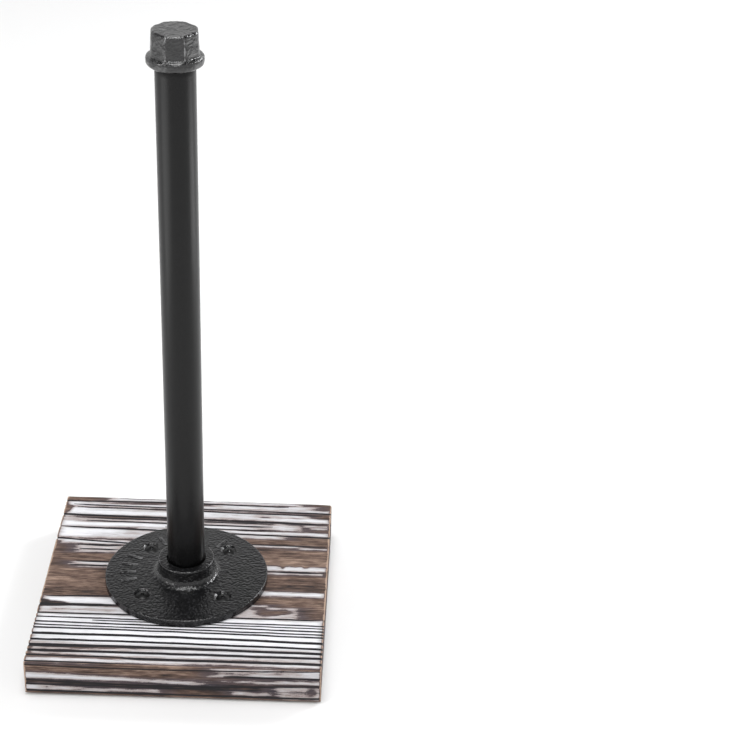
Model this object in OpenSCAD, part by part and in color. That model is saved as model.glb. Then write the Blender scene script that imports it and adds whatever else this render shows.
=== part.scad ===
// Free-standing paper towel holder: a square wooden base, a cast floor flange screwed to it,
// a threaded steel post and an eight-sided cap.
// Origin: middle of the surface it stands on. +Z is up, +X is to the right, -Y is the front.

/* [Base board] */
// Width of the board, along X
board_w = 162.4; // [125:0.1:260]
// Depth of the board, along Y
board_d = 162.4; // [125:0.1:260]
// Thickness of the board
board_h = 21.5; // [18:0.5:40]
// Chamfer where the board's edges are sanded
board_arris = 0.8; // [0.3:0.1:2]

/* [Foot pads] */
// Diameter of each rubber pad
pad_d = 19; // [10:0.5:24]
// Thickness of each pad
pad_h = 1.5; // [1:0.1:4]
// From the board's sides to a pad's centre
pad_inset = 18; // [14:0.5:30]

/* [Floor flange] */
// Diameter of the flange plate
flange_d = 93.3; // [84:0.1:120]
// Plate thickness at its rim
rim_h = 4.3; // [3.8:0.1:7]
// How much higher the plate is at the hub than at its rim
plate_rise = 0.7; // [0:0.1:2]
// Radius on the rim's upper edge
rim_round = 0.9; // [0.2:0.1:1.5]
// Metal around the thread in the hub
hub_wall = 6; // [4:0.1:9]
// Height of the hub above the board
hub_h = 15.1; // [13:0.1:30]
// Radius of the blend between the hub and the plate
hub_fillet = 4.5; // [1:0.1:5]
// Radius on the hub's upper edge
hub_round = 0.9; // [0.2:0.1:2]
// Chamfer at the mouth of the hub
mouth_chamfer = 0.6; // [0.2:0.1:1]
// Height of the raised casting bars on the plate
bar_h = 0.5; // [0.2:0.1:1]

/* [Screws] */
// Diameter of the circle through the four screw holes
bolt_circle_d = 64.6; // [56:0.1:78]
// Diameter of a countersink where it meets the plate's top
sink_d = 9.7; // [8.4:0.1:11]
// Diameter of a screw head
head_d = 7.6; // [6.5:0.1:8.2]
// Height of the dome on a screw head
head_dome = 0.9; // [0.4:0.1:1.4]
// Diameter of a screw's plain shank
shank_d = 4.2; // [3.6:0.1:5]
// Diameter over the crests of a screw's thread
crest_d = 4.0; // [3.4:0.1:4.8]
// Diameter of a screw's core, and of its pilot hole
core_d = 2.9; // [2:0.1:3.3]
// Length of a screw under the edge of its head
screw_l = 16; // [12:0.5:19]
// Distance between a screw's thread crests
screw_pitch = 1.8; // [1.2:0.1:2.5]

/* [Post] */
// Outside diameter of the tube
post_d = 21; // [16:0.1:27]
// Wall of the tube
post_wall = 2.4; // [2:0.05:2.6]
// Clear length of the tube between the hub and the cap
reach = 299.2; // [200:0.1:360]
// Depth of the thread, from the tube's surface to the pitch cylinder
thread_depth = 0.55; // [0.3:0.05:0.7]

/* [Cap] */
// Height of the cap
cap_h = 18.8; // [15:0.1:30]
// Metal over the end of the post
cap_roof = 3; // [2:0.1:5]
// How far the bead round the cap's mouth stands out from the tube
bead_out = 4.5; // [4.2:0.1:8]
// Height of the bead
bead_h = 6; // [3.6:0.1:6]
// Straight band in the middle of the bead
bead_land = 1.4; // [0.8:0.1:2]
// Distance across the flats just above the bead, less the tube's diameter
flats_over = 4.3; // [4:0.1:8]
// How much the flats taper in between the bead and the top bevel
flats_taper = 1.4; // [0:0.1:2]
// Height of the bevel round the cap's top
bevel_h = 1.0; // [0.4:0.1:2]
// How far the bevel comes in on each side
bevel_in = 1.15; // [0.4:0.05:2]
// Angle at which the cap has come tight on the post
cap_turn = 6.4; // [0:0.1:45]

/* [Fits] */
// Gap round the plain tube in the two mouths
mouth_gap = 0.3; // [0.2:0.05:0.5]
// Depth of the plain mouth before each thread
mouth_depth = 2; // [1:0.1:3]
// Running gap between two threads, on the radius
thread_gap = 0.05; // [0.02:0.01:0.1]
// Gap past each end of the post
end_gap = 1; // [0.5:0.1:2]
// Gap between a screw and its hole in the flange, on the radius
shank_gap = 0.3; // [0.1:0.05:0.6]
// Gap under a screw head's cone
head_gap = 0.04; // [0.02:0.01:0.1]

/* [Hidden] */

$fn = 96;
eps = 0.01;
arc_steps = 6;

// Heights of the faces that the pieces share, from the floor up
board_top = pad_h + board_h;
hub_top = board_top + hub_h;
post_bottom = board_top + end_gap;
lower_seat = hub_top - mouth_depth;
cap_bottom = hub_top + reach;
upper_seat = cap_bottom + mouth_depth;
cap_top = cap_bottom + cap_h;
post_top = cap_top - cap_roof - end_gap;

// Radii of the tube, its threads and what they run in
post_r = post_d / 2;
thread_r = post_r - thread_depth;
socket_r = thread_r + thread_gap;
mouth_r = post_r + mouth_gap;
hub_r = socket_r + hub_wall;
bead_r = post_r + bead_out;

// The flange plate and the places of its screws
flange_r = flange_d / 2;
root_r = hub_r + hub_fillet;
plate_h = rim_h + plate_rise;
screw_at = bolt_circle_d / 2 * cos(45);
screw_slope = (bolt_circle_d / 2 - root_r) / (flange_r - rim_round - root_r);
sink_top = plate_h - plate_rise * screw_slope;
shank_hole_r = shank_d / 2 + shank_gap;
head_edge_z = sink_top - (sink_d - head_d) / 2 + head_gap;

// A screw's plain neck below the board's top, and its point
neck_l = 2;
point_l = 3.5;

// The cross in each screw head
cross_l = 4.2;
cross_w = 0.95;
cross_depth = 1.5;

// Cast bars: angle round the plate, distance from the axis, length and width
bar_l = 8;
bar_w = 1.9;
bar_r = 33.5;
bar_angles = [58, 120, 158, 171, 184, 197];
bar_foot = rim_h / 2;
bar_top = plate_h - plate_rise / 2 + bar_h;

// Points on an arc about [cx, cy], from angle a0 to a1
function arc(cx, cy, r, a0, a1) =
    [for (i = [0 : arc_steps])
        let (a = a0 + (a1 - a0) * i / arc_steps)
        [cx + r * cos(a), cy + r * sin(a)]];

// Outline of half the flange, as distance from the axis and height above the board
flange_outline = concat(
    [[socket_r, 0], [flange_r, 0]],
    arc(flange_r - rim_round, rim_h - rim_round, rim_round, 0, 90),
    arc(root_r, plate_h + hub_fillet, hub_fillet, 270, 180),
    arc(hub_r - hub_round, hub_h - hub_round, hub_round, 0, 90),
    [[mouth_r + mouth_chamfer, hub_h], [mouth_r, hub_h - mouth_chamfer],
     [mouth_r, hub_h - mouth_depth], [socket_r, hub_h - mouth_depth]]);

// Outline of half the bead, as distance from the axis and height above the cap's mouth
bead_round = (bead_h - bead_land) / 2;
bead_outline = concat(
    [[socket_r, 0]],
    arc(bead_r - bead_round, bead_round, bead_round, 270, 360),
    arc(bead_r - bead_round, bead_h - bead_round, bead_round, 0, 90),
    [[socket_r, bead_h]]);

// Half the distance across the flats, low and high, and the outline that they cut
flat_low = (post_d + flats_over) / 2;
flat_high = flat_low - flats_taper / 2;
flats_outline = [
    [-flat_low, bead_round], [flat_low, bead_round], [flat_low, bead_h],
    [flat_high, cap_h - bevel_h], [flat_high - bevel_in, cap_h],
    [bevel_in - flat_high, cap_h], [-flat_high, cap_h - bevel_h], [-flat_low, bead_h]];

module chamfered_outline(w, d, c) {
    x = w / 2;
    y = d / 2;
    polygon([[c - x, -y], [x - c, -y], [x, c - y], [x, y - c],
             [x - c, y], [c - x, y], [-x, y - c], [-x, c - y]]);
}

// A block with every edge chamfered, its base at z = 0
module chamfered_block(w, d, h, c) {
    intersection() {
        linear_extrude(height = h) chamfered_outline(w, d, c);
        translate([0, d / 2, h / 2]) rotate([90, 0, 0])
            linear_extrude(height = d) chamfered_outline(w, h, c);
        translate([-w / 2, 0, h / 2]) rotate([90, 0, 90])
            linear_extrude(height = w) chamfered_outline(d, h, c);
    }
}

module base_board() {
    color("#6f5a50")
    difference() {
        translate([0, 0, pad_h]) chamfered_block(board_w, board_d, board_h, board_arris);
        for (sx = [-1, 1], sy = [-1, 1])
            translate([sx * screw_at, sy * screw_at, board_top + head_edge_z - screw_l])
                cylinder(h = screw_l, d = core_d);
    }
}

// A bar with round ends that lies along the radius at one angle
module cast_bar(angle) {
    rotate([0, 0, angle])
    translate([bar_r, 0, bar_foot]) {
        translate([-bar_l / 2, -bar_w / 2, 0]) cube([bar_l, bar_w, bar_top - bar_foot]);
        for (side = [-1, 1])
            translate([side * bar_l / 2, 0, 0]) cylinder(h = bar_top - bar_foot, d = bar_w);
    }
}

module floor_flange() {
    color("#26272a")
    translate([0, 0, board_top])
    difference() {
        union() {
            rotate_extrude() polygon(flange_outline);
            for (angle = bar_angles) cast_bar(angle);
        }
        for (sx = [-1, 1], sy = [-1, 1])
            translate([sx * screw_at, sy * screw_at, 0]) {
                translate([0, 0, -eps]) cylinder(h = plate_h + 1, r = shank_hole_r);
                countersink();
            }
    }
}

// The conical seat of one screw, open past the plate's top
module countersink() {
    depth = sink_d / 2 - shank_hole_r;
    translate([0, 0, sink_top - depth]) cylinder(h = depth, r1 = shank_hole_r, r2 = sink_d / 2);
    translate([0, 0, sink_top - eps]) cylinder(h = 1, d = sink_d);
}

// Outline of half a screw, as distance from its axis and height above the edge of its head
function screw_outline() =
    let (
        head_r = head_d / 2,
        cone_h = (head_d - shank_d) / 2,
        dome_r = (head_r * head_r + head_dome * head_dome) / (2 * head_dome),
        dome_a = asin(head_r / dome_r),
        plain_l = head_edge_z + neck_l,
        crests = floor((screw_l - plain_l - point_l) / screw_pitch)
    )
    concat(
        [for (i = [0 : arc_steps])
            let (a = 90 - dome_a * i / arc_steps)
            [dome_r * cos(a), head_dome - dome_r + dome_r * sin(a)]],
        [[shank_d / 2, -cone_h], [shank_d / 2, -plain_l], [core_d / 2, -plain_l - (shank_d - core_d) / 2]],
        [for (i = [1 : crests], k = [-1, 0, 1])
            [k == 0 ? crest_d / 2 : core_d / 2, -plain_l - i * screw_pitch - k * screw_pitch / 4]],
        [[core_d / 2, point_l - screw_l], [0, -screw_l]]);

module flange_screw(sx, sy) {
    color("#1d1d1f")
    translate([sx * screw_at, sy * screw_at, board_top + head_edge_z])
    difference() {
        rotate_extrude() polygon(screw_outline());
        for (a = [0, 90])
            rotate([0, 0, a]) translate([-cross_l / 2, -cross_w / 2, head_dome - cross_depth])
                cube([cross_l, cross_w, cross_depth + 1]);
    }
}

module post_pipe() {
    color("#2b2c2e")
    difference() {
        union() {
            translate([0, 0, post_bottom]) cylinder(h = post_top - post_bottom, r = thread_r);
            translate([0, 0, lower_seat]) cylinder(h = upper_seat - lower_seat, r = post_r);
        }
        translate([0, 0, post_bottom - 1])
            cylinder(h = post_top - post_bottom + 2, r = post_r - post_wall);
    }
}

module pipe_cap() {
    color("#1f2022")
    translate([0, 0, cap_bottom])
    rotate([0, 0, cap_turn])
    difference() {
        union() {
            rotate_extrude() polygon(bead_outline);
            intersection_for (i = [0 : 3])
                rotate([90, 0, 45 * i]) linear_extrude(height = post_d * 3, center = true)
                    polygon(flats_outline);
        }
        translate([0, 0, -eps]) cylinder(h = cap_h - cap_roof + eps, r = socket_r);
        translate([0, 0, -eps]) cylinder(h = mouth_depth + eps, r = mouth_r);
    }
}

module foot_pad(sx, sy) {
    pad_edge = 0.3;
    pad_r = pad_d / 2;
    color("#2f2f2f")
    translate([sx * (board_w / 2 - pad_inset), sy * (board_d / 2 - pad_inset), 0])
        rotate_extrude()
            polygon([[0, 0], [pad_r - pad_edge, 0], [pad_r, pad_edge], [pad_r, pad_h], [0, pad_h]]);
}

base_board();
floor_flange();
flange_screw(-1, -1);  // flange_screw_front_left
flange_screw(1, -1);  // flange_screw_front_right
flange_screw(-1, 1);  // flange_screw_back_left
flange_screw(1, 1);  // flange_screw_back_right
post_pipe();
pipe_cap();
foot_pad(-1, -1);  // foot_pad_front_left
foot_pad(1, -1);  // foot_pad_front_right
foot_pad(-1, 1);  // foot_pad_back_left
foot_pad(1, 1);  // foot_pad_back_right
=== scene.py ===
import math

import bpy
import numpy as np
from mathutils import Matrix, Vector, noise


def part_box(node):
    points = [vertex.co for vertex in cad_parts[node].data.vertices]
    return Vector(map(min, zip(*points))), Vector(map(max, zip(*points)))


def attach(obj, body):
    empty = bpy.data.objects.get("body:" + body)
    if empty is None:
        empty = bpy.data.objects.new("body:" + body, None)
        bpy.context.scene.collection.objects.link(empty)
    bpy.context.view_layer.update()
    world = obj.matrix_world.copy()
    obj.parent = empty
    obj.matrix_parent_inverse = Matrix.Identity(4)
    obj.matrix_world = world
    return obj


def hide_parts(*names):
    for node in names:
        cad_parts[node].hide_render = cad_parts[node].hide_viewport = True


bl_info = {
    "name": "Pipe-style paper towel holder",
    "version": (1, 0, 0),
    "blender": (4, 5, 0),
    "location": "3D View > Sidebar > Towel holder",
    "description": "Models the finished looks of a paper towel holder around its fixed frame",
    "category": "Add Mesh",
}

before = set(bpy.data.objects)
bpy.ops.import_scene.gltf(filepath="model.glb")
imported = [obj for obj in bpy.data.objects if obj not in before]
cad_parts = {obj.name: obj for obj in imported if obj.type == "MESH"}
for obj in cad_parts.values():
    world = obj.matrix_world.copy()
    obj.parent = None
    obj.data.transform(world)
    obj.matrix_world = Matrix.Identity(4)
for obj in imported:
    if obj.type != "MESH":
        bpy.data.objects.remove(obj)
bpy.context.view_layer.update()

MM = 0.001
BOARD_LOW, BOARD_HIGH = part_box("base_board")
FLANGE_LOW, FLANGE_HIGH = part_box("floor_flange")
POST_LOW, POST_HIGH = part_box("post_pipe")
CAP_LOW, CAP_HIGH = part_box("pipe_cap")
SCREW_NODES = [
    "flange_screw_front_left", "flange_screw_front_right",
    "flange_screw_back_left", "flange_screw_back_right",
]
PAD_NODES = [
    "foot_pad_front_left", "foot_pad_front_right",
    "foot_pad_back_left", "foot_pad_back_right",
]


# ---------------------------------------------------------------- sizes and colours

def length(name, description, default):
    return bpy.props.FloatProperty(
        name=name, description=description, default=default, min=0.0, precision=5, unit="LENGTH")


def colour(name, description, default):
    return bpy.props.FloatVectorProperty(
        name=name, description=description, default=default, min=0.0, max=1.0, subtype="COLOR")


class HolderSizes(bpy.types.PropertyGroup):
    arris: length("Arris", "Radius that the board's edges are sanded to", 1.0 * MM)
    relief: length("Relief", "Depth that the brush has cut along the dark grain", 0.8 * MM)
    rim_round: length("Rim round", "Radius on the upper edge of the flange", 0.9 * MM)
    rim_height: length("Rim height", "Thickness of the flange at its rim", 4.3 * MM)
    plate_height: length("Plate height", "Thickness of the flange beside its hub", 5.0 * MM)
    hub_radius: length("Hub radius", "Radius of the hub", 16.0 * MM)
    hub_round: length("Hub round", "Radius on the upper edge of the hub", 0.9 * MM)
    hub_fillet: length("Hub fillet", "Radius between the hub and the plate", 4.5 * MM)
    mouth_gap: length("Mouth gap", "Gap round the tube in the mouths of the hub and the cap", 0.3 * MM)
    mouth_depth: length("Mouth depth", "Depth of the plain mouths", 2.0 * MM)
    mouth_chamfer: length("Mouth chamfer", "Chamfer round the hub's mouth", 0.6 * MM)
    socket_depth: length(
        "Socket depth", "How far the threaded sockets lie inside the tube's surface", 0.5 * MM)
    bolt_circle: length("Bolt circle", "Diameter of the circle of screws", 64.6 * MM)
    sink_diameter: length("Countersink", "Diameter of a countersink at the plate's top", 9.7 * MM)
    head_diameter: length("Screw head", "Diameter of a screw's head", 7.6 * MM)
    head_dome: length("Head dome", "Height of the dome on a screw's head", 0.9 * MM)
    shank_diameter: length("Screw shank", "Diameter of a screw's plain shank", 4.2 * MM)
    screw_pitch: length("Screw pitch", "Distance between a wood screw's crests", 1.8 * MM)
    tube_wall: length("Tube wall", "Wall of the tube", 2.4 * MM)
    thread_crest: length(
        "Thread crest", "How far the thread's crests lie inside the tube's surface", 0.56 * MM)
    thread_root: length("Thread root", "How far the thread's roots lie inside the tube's surface", 1.45 * MM)
    thread_pitch: length("Thread pitch", "Distance between the tube's thread crests", 1.814 * MM)
    flats_low: length("Flats, low", "Distance across the cap's flats above its bead", 25.3 * MM)
    flats_high: length("Flats, high", "Distance across the cap's flats below its bevel", 23.9 * MM)
    bevel_in: length("Bevel, in", "How far the cap's top bevel comes in", 1.15 * MM)
    corner_round: length("Corner round", "How far the rounding reaches from each corner of the cap", 1.9 * MM)
    bevel_down: length("Bevel, down", "How far the cap's top bevel comes down", 1.0 * MM)
    bead_height: length("Bead height", "Height of the bead round the cap's mouth", 6.0 * MM)
    bead_land: length("Bead land", "Straight band in the middle of the bead", 1.4 * MM)
    cap_roof: length("Cap roof", "Metal over the end of the post", 3.0 * MM)
    cap_angle: bpy.props.FloatProperty(
        name="Cap angle", description="Angle at which the cap has come tight",
        default=math.radians(6.4), unit="ROTATION")
    cast_grain: length("Cast grain", "Height of the unevenness left by the sand mould", 0.12 * MM)


class HolderColours(bpy.types.PropertyGroup):
    char: colour("Char", "Darkest torched grain", (0.009, 0.008, 0.010))
    torched: colour("Torched wood", "Wood that the torch has browned", (0.066, 0.038, 0.028))
    smoke: colour("Smoke", "Stain that the paint has carried along its edges", (0.056, 0.047, 0.060))
    warm: colour("Warm wood", "Wood with little char", (0.165, 0.105, 0.080))
    bare: colour("Bare wood", "Wood sanded back at the edges", (0.40, 0.285, 0.215))
    wash: colour("White wash", "White paint rubbed over the wood", (0.80, 0.80, 0.83))
    thin_wash: colour("Thin wash", "White paint where the wood shows through", (0.66, 0.56, 0.53))
    casting: colour("Black casting", "Lacquer on the flange", (0.005, 0.005, 0.0055))
    # The rubbed colour is a painted highlight: light grey laid on the edges of the flange's raised bars and,
    # doubled, along the cap's upright corners, where lamps would glint.
    rubbed: colour("Rubbed casting", "Lacquer worn grey on the flange's raised edges", (0.10, 0.10, 0.102))
    tube: colour("Black tube", "Lacquer on the post", (0.002, 0.002, 0.0022))
    cap: colour("Black cap", "Lacquer on the cap", (0.004, 0.004, 0.0045))
    screw: colour("Black screw", "Coating on the screws", (0.004, 0.004, 0.0042))
    worn: colour("Worn steel", "Steel that shows in the screws' crosses", (0.62, 0.62, 0.63))
    rubber: colour("Pad rubber", "Foot pads", (0.02, 0.02, 0.021))
    floor: colour("Floor", "Floor and backdrop", (0.86, 0.86, 0.86))


def mouth_radius(sizes):
    return POST_HIGH.x + sizes.mouth_gap


def socket_radius(sizes):
    return POST_HIGH.x - sizes.socket_depth


# ---------------------------------------------------------------- modelling helpers

def deselect():
    if bpy.context.mode != "OBJECT":
        bpy.ops.object.mode_set(mode="OBJECT")
    bpy.ops.object.select_all(action="DESELECT")


def only(obj):
    """Makes obj the one selected and active object."""
    deselect()
    obj.select_set(True)
    bpy.context.view_layer.objects.active = obj


def settle(obj):
    """Moves an object's place, turn and size into its mesh."""
    only(obj)
    bpy.ops.object.transform_apply(location=True, rotation=True, scale=True)


def copy_to(obj, place, turn=0.0):
    """A copy with its own mesh, turned about the upright axis and moved to its place."""
    only(obj)
    bpy.ops.object.duplicate(linked=False)
    copy = bpy.context.view_layer.objects.active
    bpy.ops.transform.rotate(value=turn, orient_axis="Z", center_override=(0.0, 0.0, 0.0))
    bpy.ops.transform.translate(value=(place[0], place[1], 0.0))
    settle(copy)
    return copy


def apply_modifier(obj, kind, **settings):
    only(obj)
    modifier = obj.modifiers.new(kind.title(), kind)
    for key, value in settings.items():
        setattr(modifier, key, value)
    bpy.ops.object.modifier_apply(modifier=modifier.name)


def combine(obj, other, operation):
    """Joins or cuts obj with other, which is used up."""
    apply_modifier(obj, "BOOLEAN", object=other, operation=operation, solver="EXACT")
    bpy.data.objects.remove(other)


def select_rims():
    """Selects only the open edges of the mesh being edited."""
    bpy.ops.mesh.select_all(action="DESELECT")
    bpy.ops.mesh.select_non_manifold(extend=False, use_wire=False, use_multi_face=False,
                                     use_non_contiguous=False, use_verts=False)


def revolve(name, outline, segments, centre=(0.0, 0.0), closed=False):
    """A round piece with one ring for each (radius, height) point of the outline.
    A closed outline is a wall with a bore; an open one is solid, and its ends are filled."""
    deselect()
    x, y = centre
    radius, height = outline[0]
    bpy.ops.mesh.primitive_circle_add(
        vertices=segments, radius=radius, location=(x, y, height), enter_editmode=True)
    bpy.ops.mesh.select_mode(type="EDGE")
    for next_radius, next_height in outline[1:]:
        bpy.ops.mesh.extrude_region_move(
            TRANSFORM_OT_translate={"value": (0.0, 0.0, next_height - height)})
        grow = next_radius / radius
        bpy.ops.transform.resize(value=(grow, grow, 1.0), center_override=(x, y, next_height))
        radius, height = next_radius, next_height
    select_rims()
    if closed:
        bpy.ops.mesh.bridge_edge_loops()
    else:
        bpy.ops.mesh.fill_holes(sides=0)
    bpy.ops.mesh.select_all(action="SELECT")
    bpy.ops.mesh.normals_make_consistent(inside=False)
    bpy.ops.object.mode_set(mode="OBJECT")
    obj = bpy.context.view_layer.objects.active
    obj.name = name
    settle(obj)
    return obj


def arc(radius, height, size, start, end, steps=6):
    """Points of an arc, as (radius, height), about a centre; the angles are in degrees."""
    points = []
    for i in range(steps + 1):
        angle = math.radians(start + (end - start) * i / steps)
        points.append((radius + size * math.cos(angle), height + size * math.sin(angle)))
    return points


def ladder(start, end, step):
    """Evenly spaced values from start up to and including end, about step apart."""
    count = max(1, round(abs(end - start) / step))
    return [start + (end - start) * i / count for i in range(count + 1)]


def read_points(obj):
    points = np.empty(len(obj.data.vertices) * 3)
    obj.data.vertices.foreach_get("co", points)
    return points.reshape(-1, 3)


def write_points(obj, points):
    obj.data.vertices.foreach_set("co", np.asarray(points, np.float32).ravel())
    obj.data.update()


def note(obj, name, values):
    """Keeps one value for each point of the mesh, for its material to read."""
    attribute = obj.data.attributes.new(name, "FLOAT", "POINT")
    attribute.data.foreach_set("value", values.astype(np.float32))


def wind_thread(obj, low, high, root, crest, pitch, flat=0.12):
    """Turns the plain rings of obj between two heights into a right-hand helical thread."""
    points = read_points(obj)
    radius = np.hypot(points[:, 0], points[:, 1])
    inside = (points[:, 2] > low) & (points[:, 2] < high) & (radius > root * 0.95) & (radius < crest * 1.03)
    turn = (points[:, 2] / pitch - np.arctan2(points[:, 1], points[:, 0]) / (2 * math.pi)) % 1.0
    rise = np.clip((1 - np.abs(2 * turn - 1) - flat) / (1 - 2 * flat), 0, 1)
    ends = np.minimum(points[:, 2] - low, high - points[:, 2]) / (0.8 * pitch)
    rise *= np.clip(ends, 0, 1)
    wanted = np.where(inside, root + (crest - root) * rise, radius)
    grow = np.where(radius > 0, wanted / np.maximum(radius, 1e-9), 1)
    points[:, :2] *= grow[:, None]
    write_points(obj, points)


def roughen(obj, height, size, seed):
    """Small waves of the given height and size, cut into the surface and never standing out of it."""
    points = read_points(obj)
    normals = np.empty(len(obj.data.vertices) * 3)
    obj.data.vertices.foreach_get("normal", normals)
    normals = normals.reshape(-1, 3)
    shift = Vector((seed * 7.3, seed * 3.1, seed * 5.7))
    depth = [0.5 + 0.5 * noise.noise(Vector(p) / size + shift) for p in points]
    write_points(obj, points - normals * (height * np.array(depth))[:, None])


def finish_piece(obj, name, material, body, nodes, angle=35.0):
    """Gives a piece its name, smooth shading and material, hides the parts it stands for, and fixes it to its
    body.
    """
    obj.name = name
    obj.data.name = name
    only(obj)
    bpy.ops.object.shade_smooth_by_angle(angle=math.radians(angle))
    obj.data.materials.clear()
    obj.data.materials.append(material)
    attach(obj, body)
    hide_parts(*nodes)
    deselect()
    return obj


# ---------------------------------------------------------------- material helpers

class Finish:
    """A material under construction, with short ways to add its nodes."""

    def __init__(self, name, colour, roughness, specular=0.5):
        self.material = bpy.data.materials.new(name)
        self.material.use_nodes = True
        self.tree = self.material.node_tree
        self.surface = self.tree.nodes["Principled BSDF"]
        self.surface.inputs["Base Color"].default_value = (*colour, 1.0)
        self.surface.inputs["Roughness"].default_value = roughness
        self.surface.inputs["Specular IOR Level"].default_value = specular
        self.place = self.tree.nodes.new("ShaderNodeTexCoord").outputs["Object"]

    def put(self, socket, value):
        if isinstance(value, bpy.types.NodeSocket):
            self.tree.links.new(value, socket)
        elif socket.type == "RGBA":
            socket.default_value = (*value, 1.0)
        else:
            socket.default_value = value

    def stretched(self, per_x, per_y, per_z, shift=0.0):
        """Object coordinates, scaled to so many waves a metre along each axis."""
        node = self.tree.nodes.new("ShaderNodeMapping")
        node.inputs["Scale"].default_value = (per_x, per_y, per_z)
        node.inputs["Location"].default_value = (shift, shift, shift)
        self.tree.links.new(self.place, node.inputs["Vector"])
        return node.outputs["Vector"]

    def waves(self, per_x, per_y=None, per_z=None, detail=2.0, rough=0.5, shift=0.0):
        """Noise from -1 to 1."""
        node = self.tree.nodes.new("ShaderNodeTexNoise")
        vector = self.stretched(per_x, per_y or per_x, per_z or per_y or per_x, shift)
        self.tree.links.new(vector, node.inputs["Vector"])
        node.inputs["Scale"].default_value = 1.0
        node.inputs["Detail"].default_value = detail
        node.inputs["Roughness"].default_value = rough
        return self.sum((node.outputs["Fac"], 2.0), -1.0)

    def math(self, operation, a, b=0.0, clamp=False):
        node = self.tree.nodes.new("ShaderNodeMath")
        node.operation = operation
        node.use_clamp = clamp
        self.put(node.inputs[0], a)
        self.put(node.inputs[1], b)
        return node.outputs[0]

    def sum(self, *terms):
        """Adds its terms; a pair (socket, factor) is multiplied first."""
        total = None
        for term in terms:
            if isinstance(term, tuple):
                term = self.math("MULTIPLY", *term)
            total = term if total is None else self.math("ADD", total, term)
        return total

    def step(self, value, low, high, start=0.0, end=1.0):
        """A smooth step from start to end as value goes from low to high."""
        node = self.tree.nodes.new("ShaderNodeMapRange")
        node.interpolation_type = "SMOOTHSTEP"
        for key, setting in (("Value", value), ("From Min", low), ("From Max", high),
                             ("To Min", start), ("To Max", end)):
            self.put(node.inputs[key], setting)
        return node.outputs["Result"]

    def blend(self, factor, a, b):
        node = self.tree.nodes.new("ShaderNodeMix")
        node.data_type = "RGBA"
        self.put(node.inputs["Factor"], factor)
        self.put(node.inputs["A"], a)
        self.put(node.inputs["B"], b)
        return node.outputs["Result"]

    def shades(self, factor, *stops):
        """A colour ramp through (position, colour) stops."""
        node = self.tree.nodes.new("ShaderNodeValToRGB")
        ramp = node.color_ramp
        while len(ramp.elements) < len(stops):
            ramp.elements.new(0.5)
        for element, (position, shade) in zip(ramp.elements, stops):
            element.position = position
            element.color = (*shade, 1.0)
        self.put(node.inputs["Fac"], factor)
        return node.outputs["Color"]

    def attribute(self, name):
        node = self.tree.nodes.new("ShaderNodeAttribute")
        node.attribute_name = name
        return node.outputs["Fac"]

    def bump(self, height, distance, strength=1.0):
        """Fine relief; height goes from 0 to 1, and distance is its depth in metres."""
        node = self.tree.nodes.new("ShaderNodeBump")
        node.inputs["Distance"].default_value = distance
        node.inputs["Strength"].default_value = strength
        self.put(node.inputs["Height"], height)
        self.tree.links.new(node.outputs["Normal"], self.surface.inputs["Normal"])

    def set(self, socket, value):
        self.put(self.surface.inputs[socket], value)


# ---------------------------------------------------------------- materials

def washed_wood(colours):
    """Torched and wire-brushed softwood with rubbed white paint. The board's mesh says where the
    paint lies, where the grain is charred and where the edges are sanded, in millimetres."""
    wood = Finish("washed_wood", colours.warm, 0.72, specular=0.35)
    streaks = wood.waves(38, 2300, 2300, detail=3.0, rough=0.65)
    smears = wood.waves(130, 760, 760, detail=3.0, rough=0.6, shift=3.7)
    blotches = wood.waves(75, 210, 210, detail=2.0, rough=0.5, shift=6.4)
    specks = wood.waves(1500, 2600, 2600, detail=2.0, rough=0.65, shift=8.1)
    fibres = wood.waves(120, 4600, 4600, detail=2.0, rough=0.7, shift=5.3)
    wash, ring = wood.attribute("wash"), wood.attribute("ring")
    tone = wood.sum(
        wood.attribute("tone"), (blotches, 0.42), (smears, 0.50), (streaks, 0.85), (fibres, 0.50))
    brown = wood.shades(
        tone, (0.0, colours.char), (0.30, colours.torched), (0.62, colours.warm), (1.0, colours.bare))
    edge = wood.sum(wood.attribute("bare"), (smears, 0.30), (specks, 0.12))
    brown = wood.blend(wood.step(edge, 0.40, 0.80), brown, colours.bare)
    line = wood.sum(ring, (smears, 0.16), (streaks, 0.16), (specks, 0.10))
    charred = wood.step(line, -0.50, -0.10)
    paint = wood.sum(wash, (blotches, 0.45), (smears, 0.75), (streaks, 0.85), (specks, 0.38))
    singed = wood.step(wood.sum(paint, (blotches, 0.9), (smears, 0.5)), -2.2, -0.2, 0.0, 0.70)
    brown = wood.blend(singed, brown, colours.smoke)
    brown = wood.blend(charred, brown, colours.char)
    cover = wood.step(paint, -0.42, 0.08)
    worn = wood.sum(paint, (fibres, 1.6), (streaks, 1.2), (smears, 0.8))
    cover = wood.math("MULTIPLY", cover, wood.step(worn, -0.4, 2.8, 0.50, 1.0))
    cover = wood.math("MULTIPLY", cover, wood.step(charred, 0.2, 0.9, 1.0, 0.0))
    white = wood.blend(wood.step(wood.sum(paint, (smears, 0.5)), -0.3, 1.1), colours.thin_wash, colours.wash)
    greyed = wood.step(wood.sum((streaks, 1.0), (fibres, 0.5), (smears, 0.5)), 0.0, 0.8, 0.0, 0.50)
    white = wood.blend(greyed, white, colours.smoke)
    wood.set("Base Color", wood.blend(cover, brown, white))
    wood.set("Roughness", wood.sum((cover, -0.08), (streaks, 0.07), 0.72))
    wood.bump(wood.sum((fibres, 0.30), (streaks, 0.40), (specks, 0.20), (cover, 0.30), 0.3), 0.22 * MM)
    return wood.material


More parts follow.
